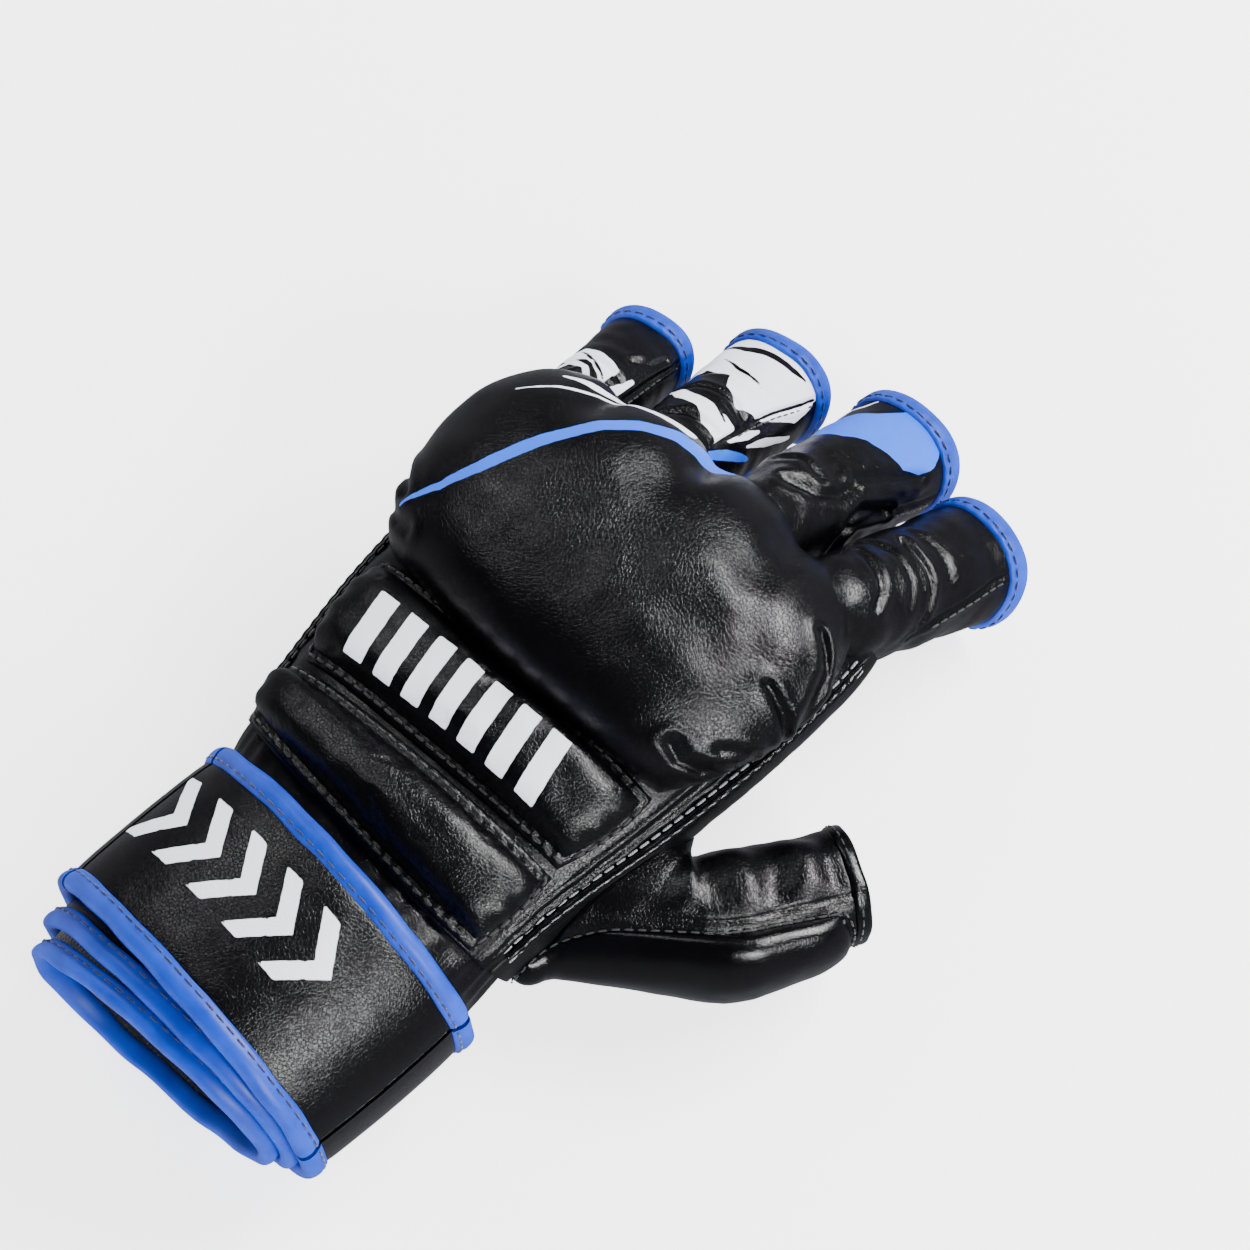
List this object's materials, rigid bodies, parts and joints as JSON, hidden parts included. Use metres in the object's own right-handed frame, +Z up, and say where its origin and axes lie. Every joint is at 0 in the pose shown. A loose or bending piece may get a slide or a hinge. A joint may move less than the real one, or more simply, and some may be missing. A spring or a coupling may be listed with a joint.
{
  "type": "mma glove",
  "caption": "Left-hand half-finger training glove with padded knuckles, an open-ended thumb, blue edge bindings and a wrap-round wrist strap.",
  "frame": {"origin": "middle of the glove's footprint on the table, at table height, palm down", "axes": "+Y along the forearm to the fingertips, +X to the thumb side, +Z up out of the back of the hand"},
  "size_m": [0.1618, 0.2492, 0.0758],
  "materials": {
    "black_leather": "glossy fine-grained black synthetic leather",
    "black_palm_leather": "satin black synthetic leather",
    "blue_binding": "satin blue synthetic leather tape",
    "foam": "dark grey closed-cell foam",
    "black_elastic": "matte black woven lining",
    "hook_loop": "matte black hook and loop tape"
  },
  "bodies": {
    "hand": {"back_panel": "black_leather", "palm_panel": "black_palm_leather", "radial_seam_piping": "black_leather", "ulnar_seam_piping": "black_leather", "knuckle_pad_cover": "black_leather", "knuckle_pad_foam": "foam", "upper_bar_cover": "black_leather", "upper_bar_foam": "foam", "lower_bar_cover": "black_leather", "lower_bar_foam": "foam", "thumb_gusset": "black_leather", "thenar_pad_cover": "black_leather", "thenar_pad_foam": "foam"},
    "index": {"index_back": "black_leather", "index_palm": "black_palm_leather", "index_binding": "blue_binding"},
    "middle": {"middle_back": "black_leather", "middle_palm": "black_palm_leather", "middle_binding": "blue_binding"},
    "ring": {"ring_back": "black_leather", "ring_palm": "black_palm_leather", "ring_binding": "blue_binding"},
    "pinky": {"pinky_back": "black_leather", "pinky_palm": "black_palm_leather", "pinky_binding": "blue_binding"},
    "thumb": {"thumb_sleeve": "black_leather", "thumb_hem": "black_leather", "thumb_pad_cover": "black_leather", "thumb_pad_foam": "foam"},
    "wrist": {"cuff": "black_elastic", "cuff_binding": "blue_binding", "inner_turn": "black_leather", "inner_turn_binding": "blue_binding", "loop_patch": "hook_loop", "palm_turn": "black_leather", "palm_turn_lower_binding": "blue_binding", "palm_turn_upper_binding": "blue_binding"},
    "strap_flap": {"strap_flap": "black_leather", "strap_flap_lower_binding": "blue_binding", "strap_flap_upper_binding": "blue_binding"},
    "strap_tab": {"strap_tab": "black_leather", "strap_tab_lower_binding": "blue_binding", "strap_tab_upper_binding": "blue_binding", "hook_patch": "hook_loop"}
  },
  "joints": [
    {"name": "wrist_bend", "type": "hinge", "parent": "hand", "child": "wrist", "pos_m": [-0.00592, -0.06085, 0.06888], "axis": [1, 0, 0], "range_deg": [-30, 15], "stiffness_Nm_per_rad": 0.9, "springref_deg": -2.01},
    {"name": "index_flex", "type": "hinge", "parent": "hand", "child": "index", "pos_m": [0.02167, 0.06412, 0.02781], "axis": [-0.9962, 0.0872, 0], "range_deg": [0, 45], "stiffness_Nm_per_rad": 0.05, "springref_deg": -5.73},
    {"name": "middle_flex", "type": "hinge", "parent": "hand", "child": "middle", "pos_m": [-0.00576, 0.06677, 0.02505], "axis": [-0.9986, -0.0523, 0], "range_deg": [0, 45], "stiffness_Nm_per_rad": 0.05, "springref_deg": -5.73},
    {"name": "ring_flex", "type": "hinge", "parent": "hand", "child": "ring", "pos_m": [-0.03339, 0.06085, 0.02508], "axis": [-0.9816, -0.1908, 0], "range_deg": [0, 45], "stiffness_Nm_per_rad": 0.05, "springref_deg": -5.73},
    {"name": "pinky_flex", "type": "hinge", "parent": "hand", "child": "pinky", "pos_m": [-0.05791, 0.04922, 0.02783], "axis": [-0.9613, -0.2756, 0], "range_deg": [0, 45], "stiffness_Nm_per_rad": 0.05, "springref_deg": -5.73},
    {"name": "thumb_swing", "type": "hinge", "parent": "hand", "child": "thumb", "pos_m": [0.04107, 0.00432, 0.02638], "axis": [0.0661, 0.1418, 0.9877], "range_deg": [0, 20], "stiffness_Nm_per_rad": 0.06, "springref_deg": -5.73},
    {"name": "strap_open", "type": "hinge", "parent": "wrist", "child": "strap_flap", "pos_m": [0.03898, -0.08585, 0.04113], "axis": [0, 1, 0], "range_deg": [0, 110]},
    {"name": "tab_peel", "type": "hinge", "parent": "strap_flap", "child": "strap_tab", "pos_m": [-0.04563, -0.08585, 0.05255], "axis": [0, 1, 0], "range_deg": [0, 70]}
  ]
}
